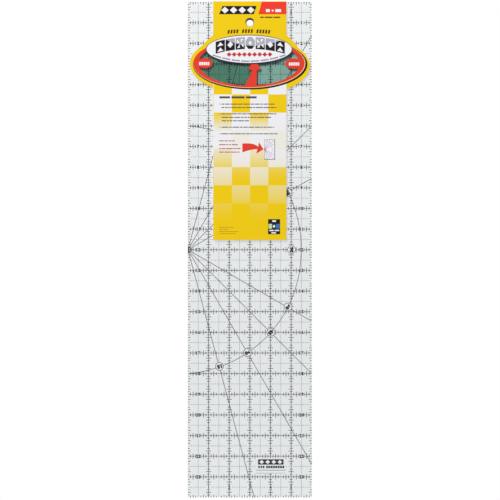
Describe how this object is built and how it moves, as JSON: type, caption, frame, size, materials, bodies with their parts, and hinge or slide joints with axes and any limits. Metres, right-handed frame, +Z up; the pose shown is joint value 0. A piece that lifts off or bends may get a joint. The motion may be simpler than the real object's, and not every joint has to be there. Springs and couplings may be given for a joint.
{
  "type": "quilting ruler",
  "caption": "Long frosted acrylic quilting ruler with a printed inch grid, angle lines and a hang hole, in a creased paperboard display card that folds open and slides off.",
  "frame": {"origin": "centre of the hang hole, at the middle of the acrylic's thickness, where a display peg holds the ruler", "axes": "+Z up along the ruler's length, towards the end with the hang hole; +X across its width, to the right as the printed front is read; -Y out of the printed front"},
  "size_m": [0.1524, 0.0044, 0.6103],
  "materials": {
    "frosted_acrylic": "clear cast acrylic, polished front face, frosted back face",
    "printed_board": "coated paperboard, offset printed in yellow, red, black and white",
    "backing_board": "uncoated paperboard outside, two green colour fields printed on the side that faces the ruler",
    "grid_ink": "black screen-printing ink"
  },
  "bodies": {
    "ruler": {"ruler_blank": "frosted_acrylic"},
    "card_spine": {"card_spine": "printed_board"},
    "card_front": {"card_front_panel": "printed_board"},
    "card_back": {"card_back_panel": "backing_board"}
  },
  "joints": [
    {"name": "card_slide", "type": "slide", "parent": "ruler", "child": "card_spine", "axis": [0, 0, 1], "range_m": [0, 0.295]},
    {"name": "front_panel_fold", "type": "hinge", "parent": "card_spine", "child": "card_front", "pos_m": [0, -0.00202, 0.02593], "axis": [-1, 0, 0], "range_deg": [0, 165]},
    {"name": "back_panel_fold", "type": "hinge", "parent": "card_spine", "child": "card_back", "pos_m": [0, 0.00202, 0.02593], "axis": [1, 0, 0], "range_deg": [0, 165]}
  ]
}
